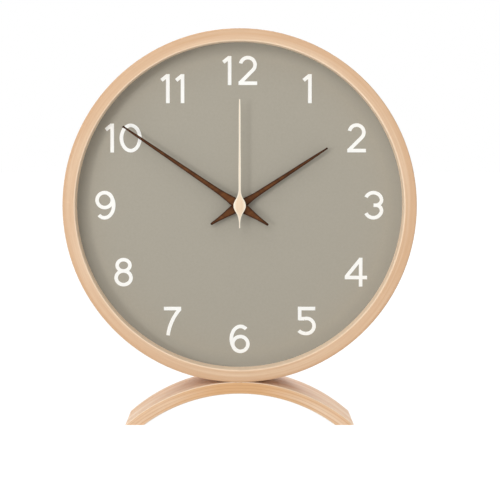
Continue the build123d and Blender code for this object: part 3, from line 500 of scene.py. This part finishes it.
def foot_wood(colours):
    """Pale bent wood, its grain along the arc, with plies that show on its two edges, and painted
    highlight on its rounded edges
    """
    material, tree, shader = new_material("foot_wood", specular_ior_level=0.25)
    grain = effect(tree, "bent_grain", centre=FOOT_CENTRE, radius=FOOT_RADIUS, seed=3.1)
    streak = linear(colours.foot_streak)
    colour = wood(tree, shader, grain, linear(colours.foot), streak)
    plies = effect(tree, "ply_lines", centre=FOOT_CENTRE, inner_radius=FOOT_RADIUS - FOOT_THICKNESS,
                   ply=FOOT_THICKNESS / FOOT_PLIES, plies=FOOT_PLIES)
    facing = split(tree, put(tree, "TexCoord").outputs["Normal"])["Y"]
    side = number(tree, "ABSOLUTE", facing)
    edge = spread(tree, side, 0.55, 0.95)
    colour = tinted(tree, colour, streak, times(tree, plies["Tone"], edge), 0.22)
    sideways = number(tree, "ABSOLUTE", split(tree, place_on(tree))["X"])
    warmth = spread(tree, sideways, *FOOT_WARMTH, 0.95, 0.0)
    colour = tinted(tree, colour, streak, warmth, edge)
    colour = tinted(tree, colour, linear(colours.foot_joint), times(tree, plies["Joint"], edge), 0.45)
    # Painted highlight: rounded edges, where the surface turns between front and top, made paler
    rising = spread(tree, side, 0.1, 0.4, 0.0, 0.7)
    falling = spread(tree, side, 0.8, 0.97, 1.0, 0.0)
    feed(tree, shader["Base Color"], tinted(tree, colour, linear(colours.foot_edge_highlight), rising, falling))
    return material


def hand_wood(name, angle, pale, streak, edge, **constants):
    """Veneer with its grain along a hand, in another colour where it was cut"""
    material, tree, shader = new_material(name, **constants)
    turn = {"Vector": place_on(tree), "Rotation": (0, angle - pi / 2, 0)}
    turned = split(tree, put(tree, "Mapping", turn).outputs[0])
    along = joined(tree, X=turned["X"], Y=turned["Z"], Z=turned["Y"])
    grain = effect(tree, "straight_grain", vector=along)
    colour = wood(tree, shader, grain, linear(pale), linear(streak), pores=0.7)
    cut = put(tree, "Attribute", attribute_name="cut_edge").outputs["Fac"]
    share = spread(tree, cut, 0.45, 1.0, 0.0, 0.9)
    feed(tree, shader["Base Color"], blended(tree, share, colour, linear(edge)))
    return material


def dial_paint(colours):
    """Smooth matt paint with a faint mottle, and painted shade, darker and a little cooler, along the
    hoop
    """
    material, tree, shader = new_material("dial_paint", specular_ior_level=0.3)
    speckle = effect(tree, "fine_speckle", size=1.4 * MM, fleck=0.66)
    colour = linear(colours.dial)
    paint = tinted(tree, colour, toned(colour, 0.93), speckle["Mottle"], 0.6)
    # Painted shade: the dial turns darker and cooler towards the hoop, where the hoop shades it
    rim = effect(tree, "round_bands", centre=HUB, outer=HOOP_INNER + DIAL_TUCK, fade=DIAL_FADE)
    feed(tree, shader["Base Color"], blended(tree, rim["Outer edge"], paint, linear(colours.dial_rim_shade)))
    roughened(tree, shader, speckle["Mottle"], 0.62, 0.72)
    bumped(tree, shader, speckle["Mottle"], depth=0.008 * MM)
    return material


def numeral_ink(colours):
    """Thick white ink"""
    material, tree, shader = new_material("numeral_ink")
    speckle = effect(tree, "fine_speckle", size=0.6 * MM, fleck=0.66)
    colour = linear(colours.numerals)
    feed(tree, shader["Base Color"], tinted(tree, colour, toned(colour, 0.985), speckle["Mottle"], 0.5))
    roughened(tree, shader, speckle["Mottle"], 0.4, 0.5)
    bumped(tree, shader, speckle["Mottle"], depth=0.01 * MM)
    return material


def fibreboard(colours):
    """Pressed brown fibres with darker ones among them"""
    material, tree, shader = new_material("fibreboard", specular_ior_level=0.25)
    speckle = effect(tree, "fine_speckle", size=1.1 * MM, fleck=0.56)
    broad = effect(tree, "fine_speckle", size=7 * MM, fleck=0.6)
    fibre = linear(colours.board_fibre)
    colour = tinted(tree, linear(colours.board), fibre, broad["Mottle"], 0.3)
    colour = tinted(tree, colour, fibre, speckle["Mottle"], 0.35)
    feed(tree, shader["Base Color"], tinted(tree, colour, fibre, speckle["Flecks"], 0.6))
    roughened(tree, shader, speckle["Mottle"], 0.78, 0.9)
    bumped(tree, shader, speckle["Mottle"], depth=0.05 * MM)
    return material


def moulded(name, colour, rough, grit):
    """Moulded plastic, lacquer or resin with the texture of its mould"""
    material, tree, shader = new_material(name)
    speckle = effect(tree, "fine_speckle", size=grit, fleck=0.62)
    broad = effect(tree, "fine_speckle", size=9 * MM, fleck=0.62)
    colour = linear(colour)
    mottle = number(tree, "ADD", speckle["Mottle"], broad["Mottle"])
    feed(tree, shader["Base Color"], tinted(tree, colour, toned(colour, 1.25, 0.004), mottle, 0.3))
    roughened(tree, shader, speckle["Mottle"], rough - 0.06, rough + 0.08)
    bumped(tree, shader, speckle["Mottle"], depth=0.02 * MM)
    return material


def metal(name, colour, rough, stretch=(1, 1, 1)):
    """Metal with the lines of its making, duller in patches"""
    material, tree, shader = new_material(name, metallic=1.0)
    drawn = effect(tree, "drawn_metal", stretch=stretch, size=METAL_LINE)
    speckle = effect(tree, "fine_speckle", size=2.5 * MM, fleck=0.6)
    colour = linear(colour)
    dull = number(tree, "ADD", drawn["Lines"], speckle["Mottle"])
    feed(tree, shader["Base Color"], tinted(tree, colour, toned(colour, 0.8), dull, 0.4))
    roughened(tree, shader, speckle["Mottle"], rough - 0.07, rough + 0.08)
    bumped(tree, shader, drawn["Lines"], depth=0.006 * MM)
    return material


def cell_wrap(colours):
    """Plain printed sleeve with a pale band, over bare steel ends"""
    material, tree, shader = new_material("cell_wrap")
    along = split(tree, place_on(tree))["X"]
    low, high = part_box("battery_cell")
    middle, half = CELL_BAND
    off = number(tree, "ABSOLUTE", number(tree, "SUBTRACT", along, low.x + middle))
    band = number(tree, "LESS_THAN", off, half)
    first = number(tree, "LESS_THAN", along, low.x + CELL_BARE[0])
    last = number(tree, "GREATER_THAN", along, high.x - CELL_BARE[1])
    bare = number(tree, "MAXIMUM", first, last)
    speckle = effect(tree, "fine_speckle", size=0.8 * MM, fleck=0.62)
    wrap = linear(colours.wrap)
    sleeve = tinted(tree, wrap, toned(wrap, 1.15), speckle["Mottle"], 0.5)
    sleeve = blended(tree, band, sleeve, linear(colours.wrap_band))
    feed(tree, shader["Base Color"], blended(tree, bare, sleeve, linear(colours.steel)))
    feed(tree, shader["Metallic"], bare)
    roughened(tree, shader, speckle["Mottle"], 0.26, 0.34)
    return material


def wound_copper(colours):
    """Layers of fine enamelled wire round an axis along X, with painted shade between the turns"""
    material, tree, shader = new_material("copper", metallic=1.0)
    along = split(tree, place_on(tree))["X"]
    turns = number(tree, "SINE", times(tree, along, 2 * pi / WIRE))
    colour = linear(colours.copper)
    # Painted shade in the grooves between the wire's turns
    gap_shade = spread(tree, turns, -1.0, 1.0, 0.8, 0.0)
    feed(tree, shader["Base Color"], blended(tree, gap_shade, colour, toned(colour, 0.55)))
    feed(tree, shader["Roughness"], spread(tree, turns, -1.0, 1.0, 0.45, 0.3))
    bumped(tree, shader, turns, depth=0.03 * MM)
    return material


def make_materials(colours):
    """Every finish of the clock, by its slot, and those of the hands by their nodes"""
    walnut = (colours.walnut, colours.walnut_streak, colours.walnut_edge)
    birch = (colours.birch, colours.birch_streak, colours.birch_edge)
    made = {
        "hoop_wood": hoop_wood(colours),
        "foot_wood": foot_wood(colours),
        "dial_paint": dial_paint(colours),
        "numeral_ink": numeral_ink(colours),
        "fibreboard": fibreboard(colours),
        "black_plastic": moulded("black_plastic", colours.plastic, rough=0.46, grit=0.35 * MM),
        "white_plastic": moulded("white_plastic", colours.white_plastic, rough=0.42, grit=0.5 * MM),
        "brass": metal("brass", colours.brass, rough=0.26),
        "steel": metal("steel", colours.steel, rough=0.3, stretch=(1, 0.2, 1)),
        "dark_iron": metal("dark_iron", colours.iron, rough=0.42, stretch=(0.1, 1, 1)),
        "magnet": metal("magnet", colours.magnet, rough=0.5),
        "copper": wound_copper(colours),
        "circuit_green": moulded("circuit_green", colours.circuit, rough=0.35, grit=0.9 * MM),
        "chip_resin": moulded("chip_resin", colours.resin, rough=0.28, grit=0.7 * MM),
        "cell_wrap": cell_wrap(colours),
    }
    for node, timber, woods, gloss in (
        ("hour_hand", "walnut", walnut, 0.12),
        ("minute_hand", "walnut", walnut, 0.12),
        ("second_hand", "birch", birch, 0.3),
    ):
        made[node] = hand_wood(f"{node}_{timber}", HAND_ANGLES[node], *woods, specular_ior_level=gloss)
    return made


# Materials built so far
finishes = {}


def finish_of(node):
    """Material of a CAD node: its own, or that of its slot"""
    if not finishes:
        finishes.update(make_materials(bpy.context.scene.clock_colours))
    return finishes.get(node) or finishes[slot_of[node]]


def dress(*nodes):
    """Gives CAD nodes whose shapes are right their materials"""
    for name in nodes:
        for holder in frame["nodes"][name].material_slots:
            holder.material = finish_of(name)


# Meshes: finer copies of CAD nodes
def merged_copy(node):
    """Copy of a CAD node's mesh, its loose triangles joined and its flat faces made whole"""
    shape = bmesh.new()
    shape.from_mesh(frame["nodes"][node].data)
    bmesh.ops.remove_doubles(shape, verts=shape.verts, dist=MERGE)
    bmesh.ops.dissolve_limit(shape, angle_limit=FLAT, verts=shape.verts, edges=shape.edges)
    return shape


def sharp_edges(shape):
    """Edges at which two faces meet sharply"""
    return [edge for edge in shape.edges
            if len(edge.link_faces) == 2 and edge.calc_face_angle(0.0) > SHARP]


def rounded(shape, edges, width, steps):
    """Rounds edges of a shape"""
    bmesh.ops.bevel(shape, geom=edges, offset=width, offset_type="OFFSET", segments=steps, profile=0.5,
                    affect="EDGES", clamp_overlap=True, material=-1)


def finished(shape, name, node):
    """Makes the object of a shape that stands for a CAD node"""
    mesh = bpy.data.meshes.new(name)
    shape.to_mesh(mesh)
    shape.free()
    mesh.materials.clear()
    mesh.materials.append(finish_of(node))
    mesh.polygons.foreach_set("material_index", [0] * len(mesh.polygons))
    mesh.shade_smooth()
    mesh.set_sharp_from_angle(angle=CREASE)
    piece = bpy.data.objects.new(name, mesh)
    bpy.context.scene.collection.objects.link(piece)
    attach(piece, body_of[node])
    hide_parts(node)


def softened(node, name, width, steps):
    """Stands a copy with rounded edges in for a CAD node"""
    shape = merged_copy(node)
    rounded(shape, sharp_edges(shape), width, steps)
    finished(shape, name, node)


def make_hand(node, name, edge_round, cuts, steps):
    """Hand with eased front edges, its points marked by how near its cut edge they lie"""
    angle = HAND_ANGLES[node]
    along = Vector((sin(angle), 0, cos(angle)))
    across = Vector((cos(angle), 0, -sin(angle)))

    def aside(vertex):
        """Distance of a point from the hand's middle line"""
        return abs((vertex.co - HUB).dot(across))

    shape = merged_copy(node)
    reaches = [(vertex.co - HUB).dot(along) for vertex in shape.verts]
    low, high = min(reaches), max(reaches)
    planes = [(HUB, across)]
    planes += [(HUB + along * (low + (high - low) * cut / cuts), along) for cut in range(1, cuts)]
    for point, normal in planes:
        parts = shape.verts[:] + shape.edges[:] + shape.faces[:]
        bmesh.ops.bisect_plane(shape, geom=parts, dist=MERGE, plane_co=point, plane_no=normal)
    front = min(vertex.co.y for vertex in shape.verts) + TOUCH
    rim = [edge for edge in sharp_edges(shape) if all(vertex.co.y < front for vertex in edge.verts)]
    rounded(shape, rim, edge_round, steps)
    mark = shape.verts.layers.float.new("cut_edge")
    for vertex in shape.verts:
        half = max(aside(edge.other_vert(vertex)) for edge in vertex.link_edges)
        middle = aside(vertex) < TOUCH and vertex.co.y < front
        vertex[mark] = max(0.0, 1.0 - half / HAND_HALF) if middle else 1.0
    finished(shape, name, node)


# Operators: one for each piece or group of like pieces
class CLOCK_OT_hoop_and_foot(bpy.types.Operator):
    """Dress the hoop and the foot in their bent wood"""
    bl_idname = "clock.hoop_and_foot"
    bl_label = "Hoop and foot"

    def execute(self, context):
        dress("ring_frame", "base_arch")
        return {"FINISHED"}


class CLOCK_OT_dial(bpy.types.Operator):
    """Dress the dial, its numerals and the board behind it"""
    bl_idname = "clock.dial"
    bl_label = "Dial and board"

    def execute(self, context):
        dress("dial_card", "numerals", "dial_board")
        return {"FINISHED"}


class CLOCK_OT_hands(bpy.types.Operator):
    """Make the three wooden hands"""
    bl_idname = "clock.hands"
    bl_label = "Hands"

    def execute(self, context):
        sizes = context.scene.clock_sizes
        for node, edge_round in (
            ("hour_hand", sizes.hand_round),
            ("minute_hand", sizes.hand_round),
            ("second_hand", sizes.needle_round),
        ):
            make_hand(node, f"wooden_{node}", edge_round, sizes.hand_cuts, sizes.round_steps)
        return {"FINISHED"}


class CLOCK_OT_fasteners(bpy.types.Operator):
    """Make the screws, the points, the contacts and the brass bushes"""
    bl_idname = "clock.fasteners"
    bl_label = "Screws, points and bushes"

    def execute(self, context):
        sizes = context.scene.clock_sizes
        for node, name, width in (
            ("base_screws", "foot_screws", sizes.screw_round),
            ("case_screws", "case_pan_screws", sizes.screw_round),
            ("movement_screws", "ear_pan_screws", sizes.screw_round),
            ("retaining_points", "glazing_points", sizes.metal_round),
            ("battery_contact_positive", "contact_strip", sizes.metal_round),
            ("battery_contact_negative", "contact_spring", sizes.metal_round),
            ("hour_hand_bush", "hour_bush", sizes.metal_round),
            ("minute_hand_bush", "minute_bush", sizes.metal_round),
            ("second_hand_tube", "second_tube", sizes.metal_round),
        ):
            softened(node, name, width, sizes.round_steps)
        return {"FINISHED"}


class CLOCK_OT_movement(bpy.types.Operator):
    """Make the movement's moulded case and knob, and dress what is inside it"""
    bl_idname = "clock.movement"
    bl_label = "Movement"

    def execute(self, context):
        sizes = context.scene.clock_sizes
        for node, name in (
            ("movement_case", "moulded_case"),
            ("movement_front_plate", "moulded_plate"),
            ("set_knob", "fluted_knob"),
        ):
            softened(node, name, sizes.moulded_round, sizes.round_steps)
        dress(*[name for name, node in frame["nodes"].items()
                if not node.hide_render and slot_of[name] not in OUTER_SLOTS])
        return {"FINISHED"}


class CLOCK_OT_stage(bpy.types.Operator):
    """Set up the floor, the lamps, the world and the camera"""
    bl_idname = "clock.stage"
    bl_label = "Stage"

    def execute(self, context):
        stage = context.scene.clock_stage
        make_floor()
        make_world(stage.soft_light)
        for name, place in LAMPS.items():
            make_lamp(f"{name}_lamp", *place, getattr(stage, f"{name}_power"))
        make_camera(stage)
        context.scene.view_settings.view_transform = "Standard"
        return {"FINISHED"}


def seen_share(tree):
    """1 for rays that show the background, from the camera, a gloss or glass"""
    rays = put(tree, "LightPath").outputs
    either = number(tree, "ADD", rays["Is Camera Ray"], rays["Is Glossy Ray"])
    total = number(tree, "ADD", either, rays["Is Transmission Ray"])
    return number(tree, "MINIMUM", total, 1.0)


def make_floor():
    """Pale floor that shows white and keeps a soft shadow"""
    shape = bmesh.new()
    bmesh.ops.create_grid(shape, x_segments=4, y_segments=4, size=FLOOR_HALF)
    mesh = bpy.data.meshes.new("floor")
    shape.to_mesh(mesh)
    shape.free()
    floor = bpy.data.objects.new("floor", mesh)
    bpy.context.scene.collection.objects.link(floor)
    material, tree, shader = new_material(
        "floor_paper", base_color=(0.8, 0.8, 0.8, 1.0), roughness=0.9, specular_ior_level=0.0)
    glow = put(tree, "Emission", {"Color": (1, 1, 1, 1), "Strength": FLOOR_WHITE}).outputs[0]
    share = times(tree, seen_share(tree), FLOOR_SHARE)
    mix = put(tree, "MixShader", {0: share, 1: tree.nodes["Principled BSDF"].outputs[0], 2: glow})
    feed(tree, tree.nodes["Material Output"].inputs["Surface"], mix.outputs[0])
    mesh.materials.append(material)


def make_world(strength):
    """Even soft light, shown as plain white"""
    world = bpy.data.worlds.new("soft_light")
    world.use_nodes = True
    tree = world.node_tree
    lit = tree.nodes["Background"]
    lit.inputs["Color"].default_value = (1, 1, 1, 1)
    lit.inputs["Strength"].default_value = strength
    white = put(tree, "Background", {"Color": (1, 1, 1, 1), "Strength": 1.0})
    mix = put(tree, "MixShader", {0: seen_share(tree), 1: lit.outputs[0], 2: white.outputs[0]})
    feed(tree, tree.nodes["World Output"].inputs["Surface"], mix.outputs[0])
    bpy.context.scene.world = world


def make_lamp(name, direction, distance, width, watts):
    """Soft round lamp that looks at the hub from a direction"""
    lamp = bpy.data.lights.new(name, "AREA")
    lamp.shape = "DISK"
    lamp.size = width
    lamp.energy = watts
    holder = bpy.data.objects.new(name, lamp)
    towards = Vector(direction).normalized()
    holder.location = HUB + towards * distance
    holder.rotation_euler = towards.to_track_quat("Z", "Y").to_euler()
    bpy.context.scene.collection.objects.link(holder)


def make_camera(stage):
    """Camera in front of the clock, a little above its hub"""
    camera = bpy.data.cameras.new("camera")
    camera.sensor_width = 36
    camera.lens = stage.lens
    camera.shift_x = stage.shift_x
    camera.shift_y = stage.shift_y
    camera.clip_start = 0.01
    camera.clip_end = 50
    holder = bpy.data.objects.new("camera", camera)
    holder.location = (0, FRONT_Y - stage.distance, HUB.z + stage.rise)
    holder.rotation_euler = (pi / 2 - stage.pitch, 0, 0)
    bpy.context.scene.collection.objects.link(holder)
    bpy.context.scene.camera = holder


STEPS = ("hoop_and_foot", "dial", "hands", "fasteners", "movement", "stage")


class CLOCK_PT_panel(bpy.types.Panel):
    """Lists the steps that dress the clock, with its colours and sizes"""
    bl_label = "Desk clock"
    bl_idname = "CLOCK_PT_panel"
    bl_space_type = "VIEW_3D"
    bl_region_type = "UI"
    bl_category = "Clock"

    def draw(self, context):
        for step in STEPS:
            self.layout.operator(f"clock.{step}")
        scene = context.scene
        for settings in (scene.clock_colours, scene.clock_sizes, scene.clock_stage):
            for name in settings.__annotations__:
                self.layout.prop(settings, name)


CLASSES = (ClockColours, ClockSizes, ClockStage, CLOCK_OT_hoop_and_foot, CLOCK_OT_dial, CLOCK_OT_hands,
           CLOCK_OT_fasteners, CLOCK_OT_movement, CLOCK_OT_stage, CLOCK_PT_panel)


def register():
    for entry in CLASSES:
        bpy.utils.register_class(entry)
    bpy.types.Scene.clock_colours = PointerProperty(type=ClockColours)
    bpy.types.Scene.clock_sizes = PointerProperty(type=ClockSizes)
    bpy.types.Scene.clock_stage = PointerProperty(type=ClockStage)


def unregister():
    for name in ("clock_stage", "clock_sizes", "clock_colours"):
        delattr(bpy.types.Scene, name)
    for entry in reversed(CLASSES):
        bpy.utils.unregister_class(entry)


def main():
    """Dresses the clock"""
    register()
    for step in STEPS:
        getattr(bpy.ops.clock, step)()


if __name__ == "__main__":
    main()
